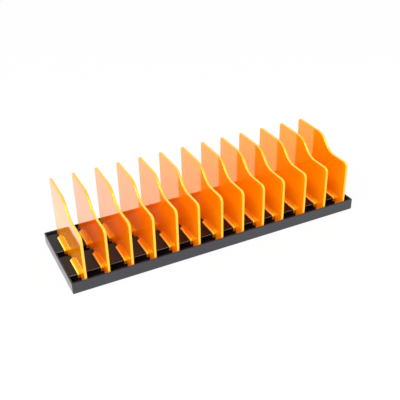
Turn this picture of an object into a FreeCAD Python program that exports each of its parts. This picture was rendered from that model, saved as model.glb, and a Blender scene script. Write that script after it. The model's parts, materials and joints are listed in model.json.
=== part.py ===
import FreeCAD, Part
import math
import os

import Sketcher

# Plier rack: a long shallow tray, two lengthwise rails screwed to its floor, and a row of upright
# dividers that clip onto the rails and slide along them. Pliers stand between the dividers.
#
# Frame: X runs along the rack, +Y to its rear, +Z up. The origin is in the plane that the rack
# stands on, under the middle of the tray. All sizes are in millimetres.

# How far each divider stands from its place in an even row, from left to right.
# They are set by hand along the rails, so the row is not quite even.
HAND_SET = (2.6, 0.6, -0.2, -1.5, -1.9, -3.2, -2.0, -2.7, -3.6, -4.6, -1.9, 0.5, 1.7)
DIVIDER_COUNT = len(HAND_SET)

DRIVING_SIZES = (
    ("tray_length", 400.0),
    ("tray_depth", 120.0),
    ("tray_height", 14.8),
    ("tray_wall", 2.0),
    ("tray_floor", 2.2),
    ("tray_corner", 1.6),
    ("tray_inner_corner", 0.8),
    ("tray_edge", 0.45),
    ("foot_length", 30.0),
    ("foot_width", 12.0),
    ("foot_height", 1.6),
    ("foot_edge", 0.3),
    ("foot_recess", 0.8),
    ("foot_recess_gap", 0.2),
    ("foot_corner", 2.0),
    ("foot_spacing_x", 170.0),
    ("foot_spacing_y", 50.0),
    ("rail_width", 41.8),
    ("rail_below_rim", 2.2),
    ("rail_flange", 2.6),
    ("rail_leg", 2.0),
    ("rail_overhang", 2.2),
    ("rail_end_gap", 0.3),
    ("rail_edge", 0.7),
    ("front_rail_y", -20.6),
    ("rear_rail_y", 33.4),
    ("boss_diameter", 7.5),
    ("boss_bore", 3.0),
    ("boss_bore_depth", 7.0),
    ("screw_spacing", 150.0),
    ("screw_shank", 2.9),
    ("screw_length", 8.5),
    ("screw_head", 5.8),
    ("screw_head_height", 1.45),
    ("screw_head_sink", 0.05),
    ("screw_cone", 1.35),
    ("screw_point", 0.7),
    ("screw_slot_width", 0.9),
    ("screw_slot_length", 3.2),
    ("screw_slot_depth", 1.0),
    ("screw_hole", 3.4),
    ("screw_sink", 1.4),
    ("divider_pitch", 30.76),
    ("divider_thickness", 3.2),
    ("divider_depth", 115.2),
    ("divider_top", 94.3),
    ("divider_ledge", 73.7),
    ("divider_brow_y", 1.9),
    ("divider_brow_radius", 23.0),
    ("divider_front_radius", 6.5),
    ("divider_rear_radius", 4.0),
    ("divider_edge", 0.9),
    ("tongue_gap", 0.3),
    ("tongue_floor_gap", 0.6),
    ("rear_tongue_drop", 6.0),
    ("deck_gap", 0.2),
    ("clip_width", 4.0),
    ("clip_length", 31.0),
    ("clip_rise", 5.0),
    ("clip_lip", 1.4),
    ("clip_nose", 5.0),
    ("clip_edge", 0.3),
    ("clip_root", 0.6),
    ("hook_thickness", 1.2),
    ("hook_rise", 0.9),
    ("hook_drop", 5.2),
    ("barb_height", 2.4),
    ("barb_face", 0.5),
    ("barb_lead", 0.2),
    ("barb_reach", 0.9),
    ("join_overlap", 0.5),
)
SET_SIZES = tuple(
    (f"set_of_divider_{number}", offset) for number, offset in enumerate(HAND_SET, start=1)
)

X_AXIS = FreeCAD.Vector(1, 0, 0)
Y_AXIS = FreeCAD.Vector(0, 1, 0)
Z_AXIS = FreeCAD.Vector(0, 0, 1)

# Limits of the tests that find edges: lengths in millimetres, directions as cosines
SAME_LENGTH = 0.01
NO_LENGTH = 1e-6
PARALLEL = 0.9
SQUARE = 0.1

doc = FreeCAD.newDocument("PlierRack")

sheet = doc.addObject("Spreadsheet::Sheet", "Sizes")
for row, (alias, value) in enumerate(DRIVING_SIZES + SET_SIZES, start=1):
    sheet.set(f"A{row}", alias)
    sheet.set(f"B{row}", str(value))
    sheet.setAlias(f"B{row}", alias)
doc.recompute()

# Heights and edges that several pieces share, as expressions on the sheet
TRAY_BOTTOM = "(Sizes.foot_height - Sizes.foot_recess)"
RIM = f"({TRAY_BOTTOM} + Sizes.tray_height)"
FLOOR_TOP = f"({TRAY_BOTTOM} + Sizes.tray_floor)"
DECK = f"({RIM} - Sizes.rail_below_rim)"
FLANGE_BOTTOM = f"({DECK} - Sizes.rail_flange)"
HALF_LENGTH = "(Sizes.tray_length / 2)"
HALF_DEPTH = "(Sizes.tray_depth / 2)"
HALF_RAIL = "(Sizes.rail_width / 2)"
HALF_DIVIDER = "(Sizes.divider_depth / 2)"
HALF_THICKNESS = "(Sizes.divider_thickness / 2)"
DIVIDER_SEAT = f"({DECK} + Sizes.deck_gap)"

# Feet and screws stand in three columns along the rack
COLUMNS = (-1, 0, 1)
FOOT_PLACES = [(column, side) for side in (-1, 1) for column in COLUMNS]
SCREW_PLACES = [
    (f"{column} * Sizes.screw_spacing", rail_y)
    for column in COLUMNS
    for rail_y in ("Sizes.front_rail_y", "Sizes.rear_rail_y")
]


def size(expression):
    """The present value of an expression on the sheet."""
    return float(sheet.evalExpression(expression))


def new_body(label):
    """An empty body whose label names the piece."""
    body = doc.addObject("PartDesign::Body", label)
    body.Label = label
    return body


def new_sketch(body, name, role, offset=None):
    """A sketch on one of the body's own origin planes, raised along its normal by an expression."""
    plane = next(p for p in body.Origin.OriginFeatures if p.Role == role)
    sketch = body.newObject("Sketcher::SketchObject", f"{body.Name}_{name}")
    sketch.AttachmentSupport = [(plane, "")]
    sketch.MapMode = "FlatFace"
    if offset is not None:
        sketch.setExpression("AttachmentOffset.Base.z", offset)
    return sketch


def draw_polygon(sketch, corners):
    """A closed outline whose corners are (across, up) pairs of expressions."""
    points = [FreeCAD.Vector(size(across), size(up), 0) for across, up in corners]
    count = len(points)
    lines = [
        sketch.addGeometry(Part.LineSegment(points[i], points[(i + 1) % count]), False)
        for i in range(count)
    ]
    for i, line in enumerate(lines):
        following = lines[(i + 1) % count]
        sketch.addConstraint(Sketcher.Constraint("Coincident", line, 2, following, 1))
    for line, point, (across, up) in zip(lines, points, corners):
        for kind, value, expression in (("DistanceX", point.x, across), ("DistanceY", point.y, up)):
            index = sketch.addConstraint(Sketcher.Constraint(kind, -1, 1, line, 1, value))
            sketch.setExpression(f"Constraints[{index}]", expression)


def draw_rectangle(sketch, left, right, low, high):
    """A rectangle whose sides lie where four expressions say."""
    draw_polygon(sketch, ((left, low), (right, low), (right, high), (left, high)))


def draw_circle(sketch, across, up, diameter):
    """A circle centred where two expressions say."""
    centre = FreeCAD.Vector(size(across), size(up), 0)
    circle = sketch.addGeometry(Part.Circle(centre, Z_AXIS, size(diameter) / 2), False)
    for kind, value, expression in (("DistanceX", centre.x, across), ("DistanceY", centre.y, up)):
        index = sketch.addConstraint(Sketcher.Constraint(kind, -1, 1, circle, 3, value))
        sketch.setExpression(f"Constraints[{index}]", expression)
    index = sketch.addConstraint(Sketcher.Constraint("Diameter", circle, size(diameter)))
    sketch.setExpression(f"Constraints[{index}]", diameter)


def add_pad(body, sketch, name, length, both_ways=False, reverse=False):
    """Material as long as the expression says, along the sketch's normal or both ways from it."""
    pad = body.newObject("PartDesign::Pad", f"{body.Name}_{name}")
    pad.Profile = sketch
    pad.Midplane = both_ways
    pad.Reversed = reverse
    pad.setExpression("Length", length)
    doc.recompute()
    return pad


def add_pocket(body, sketch, name, length, upward=True):
    """A cut as deep as the expression says, upward along the sketch's normal unless told otherwise."""
    before = body.Shape.Volume
    pocket = body.newObject("PartDesign::Pocket", f"{body.Name}_{name}")
    pocket.Profile = sketch
    pocket.Reversed = upward
    pocket.setExpression("Length", length)
    doc.recompute()
    if body.Shape.Volume >= before:
        raise RuntimeError(f"{pocket.Name} cuts nothing")
    return pocket


def edge_names(body, wanted):
    """The names of the body's edges whose midpoint, direction and length the test accepts."""
    names = []
    for index, edge in enumerate(body.Shape.Edges, start=1):
        if edge.Length < NO_LENGTH:
            continue
        halfway = (edge.FirstParameter + edge.LastParameter) / 2
        if wanted(edge.valueAt(halfway), edge.tangentAt(halfway), edge.Length):
            names.append(f"Edge{index}")
    if not names:
        raise RuntimeError(f"{body.Name}: no edge fits the test")
    return names


def add_dress_up(body, kind, name, dimension, expression, wanted):
    """A fillet or chamfer on the tip's edges that the test accepts."""
    names = edge_names(body, wanted)
    base = body.Tip
    feature = body.newObject(f"PartDesign::{kind}", f"{body.Name}_{name}")
    feature.Base = (base, names)
    feature.setExpression(dimension, expression)
    doc.recompute()
    return feature


def add_fillet(body, name, radius, wanted):
    """A rounding whose radius the expression gives."""
    return add_dress_up(body, "Fillet", name, "Radius", radius, wanted)


def near(first, second):
    """Whether two lengths agree."""
    return abs(first - second) < SAME_LENGTH


def parallel(direction, axis):
    """Whether a direction runs along an axis, either way."""
    return abs(direction.dot(axis)) > PARALLEL


def square(direction, axis):
    """Whether a direction lies across an axis."""
    return abs(direction.dot(axis)) < SQUARE


def is_circle(length, diameter):
    """Whether an edge is as long as a full circle whose diameter the expression gives."""
    return near(length, math.pi * size(diameter))


def make_tray():
    """The tray: floor and four walls, with recesses for the feet and sunk holes for the screws."""
    tray = new_body("base_tray")
    outline = new_sketch(tray, "outline", "XY_Plane", TRAY_BOTTOM)
    draw_rectangle(outline, f"-{HALF_LENGTH}", HALF_LENGTH, f"-{HALF_DEPTH}", HALF_DEPTH)
    add_pad(tray, outline, "block", "Sizes.tray_height")
    add_fillet(
        tray, "corners", "Sizes.tray_corner",
        lambda middle, direction, length: parallel(direction, Z_AXIS),
    )

    inside = new_sketch(tray, "inside", "XY_Plane", FLOOR_TOP)
    inner_x = f"({HALF_LENGTH} - Sizes.tray_wall)"
    inner_y = f"({HALF_DEPTH} - Sizes.tray_wall)"
    draw_rectangle(inside, f"-{inner_x}", inner_x, f"-{inner_y}", inner_y)
    add_pocket(tray, inside, "hollow", "Sizes.tray_height")
    wall_x = size(inner_x)
    add_fillet(
        tray, "inner_corners", "Sizes.tray_inner_corner",
        lambda middle, direction, length: (
            parallel(direction, Z_AXIS) and near(abs(middle.x), wall_x)
        ),
    )

    rim = size(RIM)
    bottom = size(TRAY_BOTTOM)
    add_fillet(
        tray, "rounded_edges", "Sizes.tray_edge",
        lambda middle, direction, length: near(middle.z, rim) or near(middle.z, bottom),
    )

    recesses = new_sketch(tray, "recesses", "XY_Plane", TRAY_BOTTOM)
    half_recess_x = "(Sizes.foot_length / 2 + Sizes.foot_recess_gap)"
    half_recess_y = "(Sizes.foot_width / 2 + Sizes.foot_recess_gap)"
    for column, side in FOOT_PLACES:
        draw_rectangle(
            recesses,
            f"{column} * Sizes.foot_spacing_x - {half_recess_x}",
            f"{column} * Sizes.foot_spacing_x + {half_recess_x}",
            f"{side} * Sizes.foot_spacing_y - {half_recess_y}",
            f"{side} * Sizes.foot_spacing_y + {half_recess_y}",
        )
    add_pocket(tray, recesses, "foot_recesses", "Sizes.foot_recess")

    holes = new_sketch(tray, "screw_holes", "XY_Plane", TRAY_BOTTOM)
    for across, up in SCREW_PLACES:
        draw_circle(holes, across, up, "Sizes.screw_hole")
    add_pocket(tray, holes, "through_holes", "Sizes.tray_floor")
    add_dress_up(
        tray, "Chamfer", "countersinks", "Size", "Sizes.screw_sink",
        lambda middle, direction, length: (
            near(middle.z, bottom) and is_circle(length, "Sizes.screw_hole")
        ),
    )
    return tray


def make_rail(label, rail_y):
    """A rail: a flat deck on two legs, with hollow bosses that take the screws from below."""
    rail = new_body(label)
    section = new_sketch(rail, "section", "YZ_Plane")
    front = f"({rail_y} - {HALF_RAIL})"
    rear = f"({rail_y} + {HALF_RAIL})"
    front_leg = f"({front} + Sizes.rail_overhang)"
    rear_leg = f"({rear} - Sizes.rail_overhang)"
    draw_polygon(section, (
        (front, DECK),
        (rear, DECK),
        (rear, FLANGE_BOTTOM),
        (rear_leg, FLANGE_BOTTOM),
        (rear_leg, FLOOR_TOP),
        (f"{rear_leg} - Sizes.rail_leg", FLOOR_TOP),
        (f"{rear_leg} - Sizes.rail_leg", FLANGE_BOTTOM),
        (f"{front_leg} + Sizes.rail_leg", FLANGE_BOTTOM),
        (f"{front_leg} + Sizes.rail_leg", FLOOR_TOP),
        (front_leg, FLOOR_TOP),
        (front_leg, FLANGE_BOTTOM),
        (front, FLANGE_BOTTOM),
    ))
    length = "Sizes.tray_length - 2 * Sizes.tray_wall - 2 * Sizes.rail_end_gap"
    add_pad(rail, section, "profile", length, both_ways=True)

    deck = size(DECK)
    edges_y = (size(front), size(rear))
    add_fillet(
        rail, "deck_edges", "Sizes.rail_edge",
        lambda middle, direction, length: (
            parallel(direction, X_AXIS) and near(middle.z, deck)
            and any(near(middle.y, y) for y in edges_y)
        ),
    )

    bosses = new_sketch(rail, "bosses", "XY_Plane", FLOOR_TOP)
    bores = new_sketch(rail, "bores", "XY_Plane", FLOOR_TOP)
    for column in COLUMNS:
        draw_circle(bosses, f"{column} * Sizes.screw_spacing", rail_y, "Sizes.boss_diameter")
        draw_circle(bores, f"{column} * Sizes.screw_spacing", rail_y, "Sizes.boss_bore")
    add_pad(rail, bosses, "bosses_pad", f"{FLANGE_BOTTOM} - {FLOOR_TOP} + Sizes.join_overlap")
    add_pocket(rail, bores, "bores_pocket", "Sizes.boss_bore_depth")
    return rail


def draw_cross(sketch, across, up):
    """The outline of a screw's cross slot round the point that two expressions give."""
    long = "Sizes.screw_slot_length / 2"
    wide = "Sizes.screw_slot_width / 2"
    first_quarter = ((long, wide), (wide, wide), (wide, long))
    corners = []
    for sign_x, sign_y in ((1, 1), (-1, 1), (-1, -1), (1, -1)):
        quarter = first_quarter if sign_x == sign_y else reversed(first_quarter)
        for x, y in quarter:
            corners.append((f"{across} + {sign_x} * {x}", f"{up} + {sign_y} * {y}"))
    draw_polygon(sketch, corners)


def make_screws():
    """The six countersunk screws, driven up through the floor into the rails' bosses."""
    screws = new_body("rail_screws")
    screws.AllowCompound = True
    head_bottom = f"({TRAY_BOTTOM} + Sizes.screw_head_sink)"

    shanks = new_sketch(screws, "shanks", "XY_Plane", head_bottom)
    heads = new_sketch(screws, "heads", "XY_Plane", head_bottom)
    slots = new_sketch(screws, "slots", "XY_Plane", head_bottom)
    for across, up in SCREW_PLACES:
        draw_circle(shanks, across, up, "Sizes.screw_shank")
        draw_circle(heads, across, up, "Sizes.screw_head")
        draw_cross(slots, across, up)

    add_pad(screws, shanks, "shanks_pad", "Sizes.screw_length")
    tip_z = size(f"{head_bottom} + Sizes.screw_length")
    add_dress_up(
        screws, "Chamfer", "points", "Size", "Sizes.screw_point",
        lambda middle, direction, length: (
            near(middle.z, tip_z) and is_circle(length, "Sizes.screw_shank")
        ),
    )

    add_pad(screws, heads, "heads_pad", "Sizes.screw_head_height")
    head_top = size(f"{head_bottom} + Sizes.screw_head_height")
    add_dress_up(
        screws, "Chamfer", "cones", "Size", "Sizes.screw_cone",
        lambda middle, direction, length: (
            near(middle.z, head_top) and is_circle(length, "Sizes.screw_head")
        ),
    )
    add_pocket(screws, slots, "cross_slots", "Sizes.screw_slot_depth")
    return screws


def make_foot(number, column, side):
    """A rubber foot, set in its recess and standing proud of the tray's underside."""
    foot = new_body(f"rubber_foot_{number}")
    outline = new_sketch(foot, "outline", "XY_Plane")
    draw_rectangle(
        outline,
        f"{column} * Sizes.foot_spacing_x - Sizes.foot_length / 2",
        f"{column} * Sizes.foot_spacing_x + Sizes.foot_length / 2",
        f"{side} * Sizes.foot_spacing_y - Sizes.foot_width / 2",
        f"{side} * Sizes.foot_spacing_y + Sizes.foot_width / 2",
    )
    add_pad(foot, outline, "pad", "Sizes.foot_height")
    add_fillet(
        foot, "corners", "Sizes.foot_corner",
        lambda middle, direction, length: parallel(direction, Z_AXIS),
    )
    add_fillet(
        foot, "soft_edge", "Sizes.foot_edge",
        lambda middle, direction, length: near(middle.z, 0),
    )
    return foot


def add_clip(body, name, rail_front):
    """One clip foot: a ramp that stands on the deck, and a barbed hook over the rail's front edge.

    The ramp's nose slopes down to the hook, and its foot runs into the plate in a hollow curve.
    """
    plate_side = f"-{HALF_THICKNESS}"
    outer = f"-({HALF_THICKNESS} + Sizes.clip_width)"
    hook_rear = f"({rail_front} - Sizes.tongue_gap)"
    hook_front = f"({hook_rear} - Sizes.hook_thickness)"

    inner = f"({plate_side} + Sizes.join_overlap)"
    ramp_top = f"({DECK} + Sizes.clip_rise)"
    ramp = new_sketch(body, f"{name}_ramp", "XZ_Plane", f"-({hook_front})")
    draw_polygon(ramp, (
        (outer, DIVIDER_SEAT),
        (inner, DIVIDER_SEAT),
        (inner, ramp_top),
        (plate_side, ramp_top),
        (outer, f"{DECK} + Sizes.clip_lip"),
    ))
    add_pad(body, ramp, f"{name}_ramp_pad", "Sizes.clip_length", reverse=True)

    hook_low = f"({DECK} - Sizes.hook_drop)"
    hook_high = f"({DECK} + Sizes.hook_rise)"
    barb_top = f"({hook_low} + Sizes.barb_height)"
    barb_rear = f"({rail_front} + Sizes.barb_reach)"
    hook = new_sketch(body, f"{name}_hook", "YZ_Plane", outer)
    draw_polygon(hook, (
        (hook_front, hook_low),
        (f"{hook_rear} + Sizes.barb_lead", hook_low),
        (barb_rear, f"{barb_top} - Sizes.barb_face"),
        (barb_rear, barb_top),
        (hook_rear, barb_top),
        (hook_rear, hook_high),
        (hook_front, hook_high),
    ))
    add_pad(body, hook, f"{name}_hook_pad", "Sizes.clip_width + Sizes.join_overlap")

    above_ramp = f"({ramp_top} + Sizes.join_overlap)"
    nose = new_sketch(body, f"{name}_nose", "YZ_Plane", outer)
    draw_polygon(nose, (
        (hook_front, hook_high),
        (f"{hook_front} + Sizes.clip_nose", above_ramp),
        (hook_front, above_ramp),
    ))
    add_pocket(body, nose, f"{name}_nose_cut", "Sizes.clip_width")

    front = size(hook_front)
    rear = size(f"{hook_front} + Sizes.clip_length")
    side = size(plate_side)
    hook_back = size(hook_rear)
    hook_bottom = size(hook_low)
    root_z = size(ramp_top)
    above_seat = size(DIVIDER_SEAT) + SAME_LENGTH
    add_fillet(
        body, f"{name}_edges", "Sizes.clip_edge",
        lambda middle, direction, length: (
            middle.x < side - SAME_LENGTH and front - SAME_LENGTH < middle.y < rear + SAME_LENGTH
            and (
                middle.z > above_seat or near(middle.y, front)
                or (near(middle.z, hook_bottom) and middle.y < hook_back)
            )
        ),
    )
    add_fillet(
        body, f"{name}_root", "Sizes.clip_root",
        lambda middle, direction, length: (
            parallel(direction, Y_AXIS) and near(middle.x, side) and near(middle.z, root_z)
            and front < middle.y < rear
        ),
    )


def make_divider_shape():
    """The divider that every place in the row repeats: a stepped plate with two clip feet."""
    body = new_body("divider_shape")
    outline = new_sketch(body, "outline", "YZ_Plane")
    front_rail_front = f"(Sizes.front_rail_y - {HALF_RAIL})"
    front_rail_rear = f"(Sizes.front_rail_y + {HALF_RAIL})"
    rear_rail_front = f"(Sizes.rear_rail_y - {HALF_RAIL})"
    rear_rail_rear = f"(Sizes.rear_rail_y + {HALF_RAIL})"
    tongue_low = f"({FLOOR_TOP} + Sizes.tongue_floor_gap)"
    rear_tongue_low = f"({DECK} - Sizes.rear_tongue_drop)"
    slope_run = "(Sizes.divider_top - Sizes.divider_ledge)"
    draw_polygon(outline, (
        (HALF_DIVIDER, rear_tongue_low),
        (HALF_DIVIDER, "Sizes.divider_top"),
        ("Sizes.divider_brow_y", "Sizes.divider_top"),
        (f"Sizes.divider_brow_y - {slope_run}", "Sizes.divider_ledge"),
        (f"-{HALF_DIVIDER}", "Sizes.divider_ledge"),
        (f"-{HALF_DIVIDER}", tongue_low),
        (f"{front_rail_front} - Sizes.tongue_gap", tongue_low),
        (f"{front_rail_front} - Sizes.tongue_gap", DIVIDER_SEAT),
        (f"{front_rail_rear} + Sizes.tongue_gap", DIVIDER_SEAT),
        (f"{front_rail_rear} + Sizes.tongue_gap", tongue_low),
        (f"{rear_rail_front} - Sizes.tongue_gap", tongue_low),
        (f"{rear_rail_front} - Sizes.tongue_gap", DIVIDER_SEAT),
        (f"{rear_rail_rear} + Sizes.tongue_gap", DIVIDER_SEAT),
        (f"{rear_rail_rear} + Sizes.tongue_gap", rear_tongue_low),
    ))
    add_pad(body, outline, "plate", "Sizes.divider_thickness", both_ways=True)

    top = size("Sizes.divider_top")
    ledge = size("Sizes.divider_ledge")
    half_depth = size(HALF_DIVIDER)
    brow = size("Sizes.divider_brow_y")
    toe = size(f"Sizes.divider_brow_y - {slope_run}")
    add_fillet(
        body, "step_curves", "Sizes.divider_brow_radius",
        lambda middle, direction, length: parallel(direction, X_AXIS) and (
            (near(middle.z, top) and near(middle.y, brow))
            or (near(middle.z, ledge) and near(middle.y, toe))
        ),
    )
    add_fillet(
        body, "front_corner", "Sizes.divider_front_radius",
        lambda middle, direction, length: (
            parallel(direction, X_AXIS) and near(middle.z, ledge) and near(middle.y, -half_depth)
        ),
    )
    add_fillet(
        body, "rear_corner", "Sizes.divider_rear_radius",
        lambda middle, direction, length: (
            parallel(direction, X_AXIS) and near(middle.z, top) and near(middle.y, half_depth)
        ),
    )
    above_seat = size(DIVIDER_SEAT) + SAME_LENGTH
    add_fillet(
        body, "rounded_edges", "Sizes.divider_edge",
        lambda middle, direction, length: square(direction, X_AXIS) and middle.z > above_seat,
    )
    add_clip(body, "front_clip", front_rail_front)
    add_clip(body, "rear_clip", rear_rail_front)
    return body


def make_divider(number, shape):
    """One divider of the row, a copy of the common shape at its own place along the rails."""
    divider = new_body(f"divider_{number:02d}")
    copy = divider.newObject("PartDesign::FeatureBase", f"{divider.Name}_copy")
    copy.BaseFeature = shape
    divider.Tip = copy
    middle = (DIVIDER_COUNT + 1) / 2
    divider.setExpression(
        "Placement.Base.x",
        f"{number - middle} * Sizes.divider_pitch + Sizes.set_of_divider_{number}",
    )
    return divider


pieces = [
    make_tray(),
    make_rail("front_rail", "Sizes.front_rail_y"),
    make_rail("rear_rail", "Sizes.rear_rail_y"),
    make_screws(),
]
for foot_number, (foot_column, foot_side) in enumerate(FOOT_PLACES, start=1):
    pieces.append(make_foot(foot_number, foot_column, foot_side))
divider_shape = make_divider_shape()
for divider_number in range(1, DIVIDER_COUNT + 1):
    pieces.append(make_divider(divider_number, divider_shape))
doc.recompute()

for item in doc.Objects:
    if "Invalid" in item.State or "Error" in item.State:
        raise RuntimeError(f"{item.Name} is in state {item.State}")
for piece in pieces:
    if piece.Shape.isNull() or not piece.Shape.isValid():
        raise RuntimeError(f"{piece.Label} has no valid shape")

os.makedirs("parts", exist_ok=True)
for piece in pieces:
    piece.Shape.exportStep(f"parts/{piece.Label}.step")
    box = piece.Shape.BoundBox
    spans = ((box.XMin, box.XMax), (box.YMin, box.YMax), (box.ZMin, box.ZMax))
    reach = ", ".join(f"{low:.2f}..{high:.2f}" for low, high in spans)
    print(f"{piece.Label}: {len(piece.Shape.Solids)} solid(s), {piece.Shape.Volume:.0f} mm3, {reach}")
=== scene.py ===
import json
import math

import bpy
from mathutils import Matrix, Vector


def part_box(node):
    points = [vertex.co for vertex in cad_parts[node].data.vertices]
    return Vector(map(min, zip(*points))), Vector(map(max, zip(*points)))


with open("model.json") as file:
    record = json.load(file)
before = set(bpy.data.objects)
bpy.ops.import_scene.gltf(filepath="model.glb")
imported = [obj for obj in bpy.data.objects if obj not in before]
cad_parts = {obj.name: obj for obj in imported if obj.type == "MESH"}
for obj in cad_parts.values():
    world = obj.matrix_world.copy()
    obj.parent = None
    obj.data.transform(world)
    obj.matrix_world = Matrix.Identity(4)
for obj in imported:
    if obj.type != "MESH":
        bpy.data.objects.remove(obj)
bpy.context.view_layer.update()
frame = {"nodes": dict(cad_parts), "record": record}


def rgb(red, green, blue):
    """An opaque colour in linear light."""
    return (red, green, blue, 1.0)


# Camera, as fitted to the photograph: distances in metres, angles in degrees
SENSOR = 36.0
FOCAL_PIXELS = 661.8
IMAGE_PIXELS = 400
AZIMUTH = -26.04
ELEVATION = 31.24
ROLL = -1.14
DISTANCE = 0.8902
SHIFT_RIGHT = -0.0046
SHIFT_UP = 0.0333
TRAY_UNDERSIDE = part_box("base_tray")[0].z

# Floor, world and lamps: sizes in metres, power in watts
FLOOR_HALF = 4.0
FLOOR_GLOW = 0.93
WORLD_LIGHT = 0.82
WORLD_SEEN = 1.0
LAMP_TARGET = (0.0, 0.0, 0.05)
KEY_PLACE = (-1.08, -0.8, 1.33)
KEY_SIZE = (1.2, 1.0)
KEY_POWER = 21.0
FILL_PLACE = (1.4, -0.6, 0.9)
FILL_SIZE = (1.0, 1.0)
FILL_POWER = 4.0

# Thickness of a divider's plate, in metres
PLATE_THICKNESS = 0.0032

# Where one look of a divider turns into the next, in metres to the left of the plate's left face
CLIP_BEGINS = (0.0, 0.0003)
# The ramp's painted shade turns into painted light over this span
RAMP_SHADE_TO_LIGHT = (0.0012, 0.0030)
LIP_LINE = (0.0027, 0.0033)

# The same by the height above the ground, and by the place from front to rear for the painted light near
# the front
HOOK_SHADE = (0.0133, 0.0117)
GLOSS_RISE = (0.025, 0.050)
UPPER_FACE = (0.042, 0.066)
TOP_EDGE = (0.084, 0.091)
FRONT_PAINTED_LIGHT_SPAN = (-0.046, -0.057)

# The same by how a surface is turned, as parts of its normal from -1 to 1
FACES_RIGHT = (0.2, 0.6)
EDGE_TURN = (0.995, 0.90)
RAMP_FACES_UP = (0.3, 0.7)
LIP_FACES_LEFT = (0.75, 0.95)
NOT_DOWN = (-0.2, 0.2)

# Scuffs on the dividers and drawing lines on the rails: waves to the metre along X, Y and Z
SCUFF_WAVES = (300.0, 260.0, 22.0)
DRAWN_WAVES = (3.0, 900.0, 900.0)

# The dividers' orange
FACE_DEEP = rgb(0.98, 0.30, 0.0)
FACE_LIGHT = rgb(1.0, 0.33, 0.0)
FACE_UPPER = rgb(1.0, 0.22, 0.0)
# Painted light near the front edge
FACE_FRONT_PAINTED_LIGHT = rgb(1.0, 0.32, 0.0)
# Painted shade on the right face
FACE_RIGHT_PAINTED_SHADE = rgb(1.0, 0.25, 0.0)
# Painted highlights on the edges, dimmer on the top edges
EDGE_SIDE_PAINTED_HIGHLIGHT = rgb(1.0, 0.52, 0.06)
EDGE_TOP_PAINTED_HIGHLIGHT = rgb(0.88, 0.41, 0.03)
# Painted shade next to the plate and painted light further out on the ramp
RAMP_PAINTED_SHADE = rgb(0.66, 0.17, 0.0)
RAMP_PAINTED_LIGHT = rgb(1.0, 0.45, 0.03)
# Painted highlight on the lip
LIP_PAINTED_HIGHLIGHT = rgb(1.0, 0.95, 0.18)
# Painted shade on the hook
HOOK_PAINTED_SHADE = rgb(0.08, 0.015, 0.0)
# Painted light, given off as a faint emission
EMITTED_PAINTED_LIGHT = rgb(1.0, 0.17, 0.0)
YELLOW_GLOSS = rgb(1.0, 1.0, 0.0)

# The dividers' gloss: roughness by the scuffs, what dull places add, and the coat from low to high
SCUFFS_SEEN = (0.45, 0.75)
DIVIDER_ROUGHNESS = (0.07, 0.16)
DIVIDER_DULLER = 0.3
DIVIDER_COAT = (0.6, 0.95)

# The parts of a noise that count, where the middle or nearly all of it does
MIDDLE = (0.3, 0.7)
NEARLY_ALL = (0.2, 0.8)

# The tray: what faces up is duller and has no coat
TRAY_BLACKS = (rgb(0.015, 0.015, 0.023), rgb(0.025, 0.025, 0.036))
TRAY_FACES_UP = (0.5, 0.9)
TRAY_ROUGHNESS = (0.26, 0.36)
TRAY_DULLER = 0.3
TRAY_COAT = (0.6, 0.0)

# The rails: their rounded front and rear edges, which lean out and face up, carry a pale painted
# highlight
RAIL_BLACKS = (rgb(0.006, 0.005, 0.005), rgb(0.011, 0.009, 0.009))
RAIL_EDGE_PAINTED_HIGHLIGHT = rgb(0.22, 0.21, 0.22)
RAIL_LEANS_OUT = (0.35, 0.55)
RAIL_FACES_UP = (0.20, 0.40)
RAIL_ROUGHNESS = (0.13, 0.20)

# The feet, the screws and the floor
RUBBER_BLACKS = (rgb(0.018, 0.018, 0.019), rgb(0.030, 0.030, 0.032))
RUBBER_ROUGHNESS = (0.75, 0.92)
ZINC_GREYS = (rgb(0.55, 0.55, 0.54), rgb(0.70, 0.70, 0.68))
ZINC_ROUGHNESS = (0.25, 0.42)
FLOOR_GREY = rgb(0.86, 0.86, 0.86)
WHITE = rgb(1.0, 1.0, 1.0)

# The mix node's sockets for colours
MIX_FACTOR = 0
MIX_FIRST = 6
MIX_SECOND = 7
MIX_RESULT = 2


class Nodes:
    """A node tree, with short calls that add its nodes and join them."""

    def __init__(self, tree):
        self.tree = tree

    def add(self, kind, **settings):
        """A new node with those settings."""
        node = self.tree.nodes.new(kind)
        for key, value in settings.items():
            setattr(node, key, value)
        return node

    def put(self, socket, value):
        """Joins an output to a socket, or writes a plain value on it."""
        if isinstance(value, bpy.types.NodeSocket):
            self.tree.links.new(value, socket)
        else:
            socket.default_value = value

    def axes(self, vector):
        """A vector's three components, by name."""
        node = self.add("ShaderNodeSeparateXYZ")
        self.put(node.inputs[0], vector)
        return node.outputs

    def span(self, value, reach, result=(0.0, 1.0)):
        """A value's reach mapped smoothly onto a result, and kept inside it."""
        node = self.add("ShaderNodeMapRange", interpolation_type="SMOOTHSTEP")
        limits = {
            "Value": value,
            "From Min": reach[0],
            "From Max": reach[1],
            "To Min": result[0],
            "To Max": result[1],
        }
        for name, number in limits.items():
            self.put(node.inputs[name], number)
        return node.outputs["Result"]

    def math(self, operation, first, second=0.0):
        """One step of arithmetic."""
        node = self.add("ShaderNodeMath", operation=operation)
        self.put(node.inputs[0], first)
        self.put(node.inputs[1], second)
        return node.outputs[0]

    def blend(self, factor, first, second):
        """One colour turning into another as the factor goes from 0 to 1."""
        node = self.add("ShaderNodeMix", data_type="RGBA")
        self.put(node.inputs[MIX_FACTOR], factor)
        self.put(node.inputs[MIX_FIRST], first)
        self.put(node.inputs[MIX_SECOND], second)
        return node.outputs[MIX_RESULT]

    def seen(self):
        """1 for a ray from the camera, a reflection or glass, and 0 for any other."""
        path = self.add("ShaderNodeLightPath")
        mirrored = self.math("MAXIMUM", path.outputs["Is Camera Ray"], path.outputs["Is Glossy Ray"])
        return self.math("MAXIMUM", mirrored, path.outputs["Is Transmission Ray"])


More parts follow.
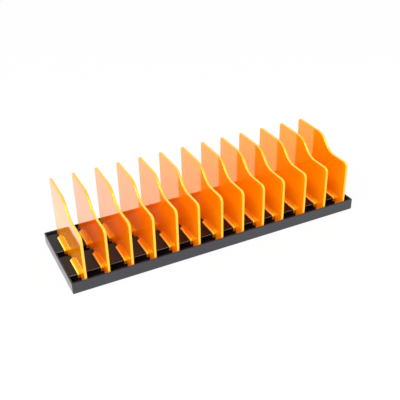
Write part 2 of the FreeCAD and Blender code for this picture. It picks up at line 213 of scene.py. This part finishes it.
class Recipe(Nodes):
    """A material's node tree, around its one shader."""

    def __init__(self, name):
        self.material = bpy.data.materials.new(name)
        self.material.use_nodes = True
        super().__init__(self.material.node_tree)
        self.shader = self.tree.nodes["Principled BSDF"]
        self.output = self.tree.nodes["Material Output"]
        self.place = self.add("ShaderNodeTexCoord")

    def stretched(self, scale):
        """Object coordinates, scaled along each axis."""
        node = self.add("ShaderNodeMapping")
        self.put(node.inputs["Vector"], self.place.outputs["Object"])
        self.put(node.inputs["Scale"], scale)
        return node.outputs["Vector"]

    def noise(self, waves, detail=2.0, roughness=0.5, vector=None):
        """Smooth noise from 0 to 1, so many waves to the metre."""
        node = self.add("ShaderNodeTexNoise")
        self.put(node.inputs["Vector"], vector or self.place.outputs["Object"])
        self.put(node.inputs["Scale"], waves)
        self.put(node.inputs["Detail"], detail)
        self.put(node.inputs["Roughness"], roughness)
        return node.outputs["Fac"]

    def bump(self, height, depth, below=None):
        """A surface normal from a height from 0 to 1, so many metres deep."""
        node = self.add("ShaderNodeBump")
        self.put(node.inputs["Height"], height)
        self.put(node.inputs["Distance"], depth)
        if below is not None:
            self.put(node.inputs["Normal"], below)
        return node.outputs["Normal"]

    def finish(self, **sockets):
        """Sets the shader's sockets, whose names are written with underscores."""
        for key, value in sockets.items():
            self.put(self.shader.inputs[key.replace("_", " ")], value)
        return self.material


def plate_colour(recipe, place, normal, right_side, plate):
    """The plate's orange, redder high up, with painted light near its front edge, painted shade on its
    right face and painted highlights on its edges.
    """
    face = recipe.blend(recipe.noise(waves=18.0, detail=3.0), FACE_DEEP, FACE_LIGHT)
    face = recipe.blend(recipe.span(place["Z"], UPPER_FACE), face, FACE_UPPER)
    # Painted light: the face turns yellower near its front edge, where more light falls.
    face = recipe.blend(recipe.span(place["Y"], FRONT_PAINTED_LIGHT_SPAN), face, FACE_FRONT_PAINTED_LIGHT)
    # Painted shade: the right face is a darker, redder orange.
    face = recipe.blend(right_side, face, FACE_RIGHT_PAINTED_SHADE)

    # Painted highlight: the rounded edges are yellow, dimmer on the top edges.
    across = recipe.math("ABSOLUTE", normal["X"])
    edge = recipe.math("MULTIPLY", recipe.span(across, EDGE_TURN), plate)
    edge_highlight_colour = recipe.blend(recipe.span(place["Z"], TOP_EDGE), EDGE_SIDE_PAINTED_HIGHLIGHT, EDGE_TOP_PAINTED_HIGHLIGHT)
    return recipe.blend(edge, face, edge_highlight_colour)


def clip_colour(recipe, colour, place, normal, beyond, clip):
    """The clip feet over the plate's colour: painted shade and light on the ramp, a painted highlight on
    the lip and painted shade on the hook.
    """
    ramp = recipe.math("MULTIPLY", recipe.span(normal["Z"], RAMP_FACES_UP), clip)
    # Painted shade on the ramp next to the plate, turning into painted light towards its outer edge.
    ramp_painted_light_and_shade = recipe.blend(recipe.span(beyond, RAMP_SHADE_TO_LIGHT), RAMP_PAINTED_SHADE, RAMP_PAINTED_LIGHT)
    colour = recipe.blend(ramp, colour, ramp_painted_light_and_shade)

    # Painted highlight: the lip's left face and the ramp's outer line are pale yellow.
    leftward = recipe.math("MULTIPLY", normal["X"], -1.0)
    lip = recipe.math("MULTIPLY", recipe.span(leftward, LIP_FACES_LEFT), clip)
    lip_line = recipe.math("MULTIPLY", recipe.span(beyond, LIP_LINE), recipe.span(normal["Z"], NOT_DOWN))
    colour = recipe.blend(recipe.math("MAXIMUM", lip, lip_line), colour, LIP_PAINTED_HIGHLIGHT)

    # Painted shade: the hook low in the front channel is nearly black.
    hook = recipe.math("MULTIPLY", recipe.span(place["Z"], HOOK_SHADE), clip)
    return recipe.blend(hook, colour, HOOK_PAINTED_SHADE)


def divider_plastic(node):
    """Glossy orange plastic of one divider, with painted highlights on its edges and a faint emission of
    painted light.
    """
    recipe = Recipe("orange_gloss_" + node)
    place = recipe.axes(recipe.place.outputs["Object"])
    normal = recipe.axes(recipe.place.outputs["Normal"])
    left_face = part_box(node)[1].x - PLATE_THICKNESS
    beyond = recipe.math("SUBTRACT", left_face, place["X"])
    clip = recipe.span(beyond, CLIP_BEGINS)
    plate = recipe.math("SUBTRACT", 1.0, clip)
    right_side = recipe.span(normal["X"], FACES_RIGHT)
    colour = plate_colour(recipe, place, normal, right_side, plate)
    colour = clip_colour(recipe, colour, place, normal, beyond, clip)

    scuffs = recipe.noise(waves=1.0, detail=4.0, roughness=0.65, vector=recipe.stretched(SCUFF_WAVES))
    duller = recipe.math("MULTIPLY", recipe.math("MAXIMUM", right_side, clip), DIVIDER_DULLER)
    roughness = recipe.math("ADD", recipe.span(scuffs, SCUFFS_SEEN, DIVIDER_ROUGHNESS), duller)
    glossy = recipe.math("MULTIPLY", recipe.math("SUBTRACT", 1.0, right_side), plate)
    gloss = recipe.math("MULTIPLY", glossy, recipe.span(place["Z"], GLOSS_RISE, DIVIDER_COAT))
    waves = recipe.bump(recipe.noise(waves=28.0, detail=1.0), depth=0.00012)
    peel = recipe.bump(recipe.noise(waves=330.0, detail=1.0), depth=0.00001, below=waves)
    return recipe.finish(
        Base_Color=colour,
        Roughness=roughness,
        IOR=2.35,
        Specular_Tint=YELLOW_GLOSS,
        Normal=peel,
        Coat_Weight=gloss,
        Coat_IOR=1.3,
        Coat_Roughness=0.04,
        # Painted light: a faint orange emission that lifts the faces in shade.
        Emission_Color=EMITTED_PAINTED_LIGHT,
        Emission_Strength=0.17,
    )


def tray_plastic():
    """Black moulded plastic with a fine eroded grain, glossier on its walls than where it faces up."""
    recipe = Recipe("black_moulded_plastic")
    cloud = recipe.noise(waves=40.0, detail=4.0)
    upward = recipe.span(recipe.axes(recipe.place.outputs["Normal"])["Z"], TRAY_FACES_UP)
    duller = recipe.math("MULTIPLY", upward, TRAY_DULLER)
    handled = recipe.noise(waves=60.0, detail=3.0)
    grain = recipe.noise(waves=2600.0)
    return recipe.finish(
        Base_Color=recipe.blend(cloud, *TRAY_BLACKS),
        Roughness=recipe.math("ADD", recipe.span(handled, MIDDLE, TRAY_ROUGHNESS), duller),
        IOR=1.5,
        Normal=recipe.bump(grain, depth=0.00003),
        Coat_Weight=recipe.span(upward, (0.0, 1.0), TRAY_COAT),
        Coat_IOR=1.4,
        Coat_Roughness=0.2,
    )


def rail_plastic():
    """Black extruded plastic, drawn lengthwise, with a pale painted highlight on its front and rear
    edges.
    """
    recipe = Recipe("black_extruded_plastic")
    lines = recipe.noise(waves=1.0, detail=3.0, roughness=0.6, vector=recipe.stretched(DRAWN_WAVES))
    black = recipe.blend(lines, *RAIL_BLACKS)
    normal = recipe.axes(recipe.place.outputs["Normal"])
    leaning = recipe.span(recipe.math("ABSOLUTE", normal["Y"]), RAIL_LEANS_OUT)
    # Painted highlight on the rounded edges that lean out and face up.
    painted_edge_highlight = recipe.math("MULTIPLY", leaning, recipe.span(normal["Z"], RAIL_FACES_UP))
    return recipe.finish(
        Base_Color=recipe.blend(painted_edge_highlight, black, RAIL_EDGE_PAINTED_HIGHLIGHT),
        Roughness=recipe.span(lines, MIDDLE, RAIL_ROUGHNESS),
        IOR=1.30,
        Normal=recipe.bump(lines, depth=0.000008),
    )


def foot_rubber():
    """Matt black rubber with a fine grain."""
    recipe = Recipe("black_rubber")
    grain = recipe.noise(waves=1800.0, detail=3.0)
    return recipe.finish(
        Base_Color=recipe.blend(grain, *RUBBER_BLACKS),
        Roughness=recipe.span(grain, NEARLY_ALL, RUBBER_ROUGHNESS),
        IOR=1.5,
        Normal=recipe.bump(grain, depth=0.00006),
    )


def screw_steel():
    """Zinc-plated steel with faint marks."""
    recipe = Recipe("zinc_plated_steel")
    marks = recipe.noise(waves=1400.0, detail=3.0)
    return recipe.finish(
        Base_Color=recipe.blend(marks, *ZINC_GREYS),
        Roughness=recipe.span(marks, NEARLY_ALL, ZINC_ROUGHNESS),
        Metallic=1.0,
        Normal=recipe.bump(marks, depth=0.00002),
    )


def floor_material():
    """A pale matt surface that reads as white to the camera and keeps soft shadows."""
    recipe = Recipe("pale_floor")
    recipe.finish(Base_Color=FLOOR_GREY, Roughness=0.9, Specular_IOR_Level=0.0)
    glow = recipe.add("ShaderNodeEmission")
    recipe.put(glow.inputs["Color"], WHITE)
    recipe.put(glow.inputs["Strength"], 1.0)
    mix = recipe.add("ShaderNodeMixShader")
    recipe.put(mix.inputs[0], recipe.math("MULTIPLY", recipe.seen(), FLOOR_GLOW))
    recipe.put(mix.inputs[1], recipe.shader.outputs[0])
    recipe.put(mix.inputs[2], glow.outputs[0])
    recipe.put(recipe.output.inputs["Surface"], mix.outputs[0])
    return recipe.material


def make_floor():
    """A wide square under the rack."""
    low, high = -FLOOR_HALF, FLOOR_HALF
    corners = [(low, low, 0.0), (high, low, 0.0), (high, high, 0.0), (low, high, 0.0)]
    mesh = bpy.data.meshes.new("floor")
    mesh.from_pydata(corners, [], [(0, 1, 2, 3)])
    mesh.materials.append(floor_material())
    floor = bpy.data.objects.new("floor", mesh)
    bpy.context.scene.collection.objects.link(floor)


def make_world():
    """A white surround, a little weaker as a light than as it is seen."""
    world = bpy.data.worlds.new("studio")
    bpy.context.scene.world = world
    world.use_nodes = True
    nodes = Nodes(world.node_tree)
    background = nodes.tree.nodes["Background"]
    nodes.put(background.inputs["Color"], WHITE)
    strength = nodes.span(nodes.seen(), (0.0, 1.0), (WORLD_LIGHT, WORLD_SEEN))
    nodes.put(background.inputs["Strength"], strength)


def make_lamp(name, place, size, power):
    """A soft rectangular lamp that points at the rack."""
    lamp = bpy.data.lights.new(name, "AREA")
    lamp.shape = "RECTANGLE"
    lamp.size, lamp.size_y = size
    lamp.energy = power
    holder = bpy.data.objects.new(name, lamp)
    bpy.context.scene.collection.objects.link(holder)
    holder.location = place
    holder.rotation_euler = (Vector(LAMP_TARGET) - Vector(place)).to_track_quat("-Z", "Y").to_euler()


def make_camera():
    """The camera at the photograph's place, with its roll and focal length."""
    azimuth, elevation, roll = (math.radians(angle) for angle in (AZIMUTH, ELEVATION, ROLL))
    level = math.cos(elevation)
    back = Vector((math.sin(azimuth) * level, -math.cos(azimuth) * level, math.sin(elevation)))
    level_right = Vector((math.cos(azimuth), math.sin(azimuth), 0.0))
    level_up = back.cross(level_right)
    right = level_right * math.cos(roll) + level_up * math.sin(roll)
    up = level_up * math.cos(roll) - level_right * math.sin(roll)
    foot = Vector((0.0, 0.0, TRAY_UNDERSIDE))
    place = back * DISTANCE + right * SHIFT_RIGHT + up * SHIFT_UP + foot
    data = bpy.data.cameras.new("camera")
    data.sensor_width = SENSOR
    data.lens = FOCAL_PIXELS / IMAGE_PIXELS * SENSOR
    camera = bpy.data.objects.new("camera", data)
    bpy.context.scene.collection.objects.link(camera)
    turn = Matrix((right, up, back)).transposed().to_4x4()
    camera.matrix_world = Matrix.Translation(place) @ turn
    bpy.context.scene.camera = camera


def dress_nodes():
    """Gives every CAD node the finish of its material slot."""
    finishes = {
        "tray_plastic": tray_plastic(),
        "rail_plastic": rail_plastic(),
        "foot_rubber": foot_rubber(),
        "screw_steel": screw_steel(),
    }
    for subpart in frame["record"]["subparts"]:
        node = subpart["node"]
        slot = subpart["material_slot"]
        material = divider_plastic(node) if slot == "divider_plastic" else finishes[slot]
        frame["nodes"][node].material_slots[0].material = material


make_camera()
make_floor()
make_world()
make_lamp("key", KEY_PLACE, KEY_SIZE, KEY_POWER)
make_lamp("fill", FILL_PLACE, FILL_SIZE, FILL_POWER)
dress_nodes()
bpy.context.scene.view_settings.view_transform = "Standard"
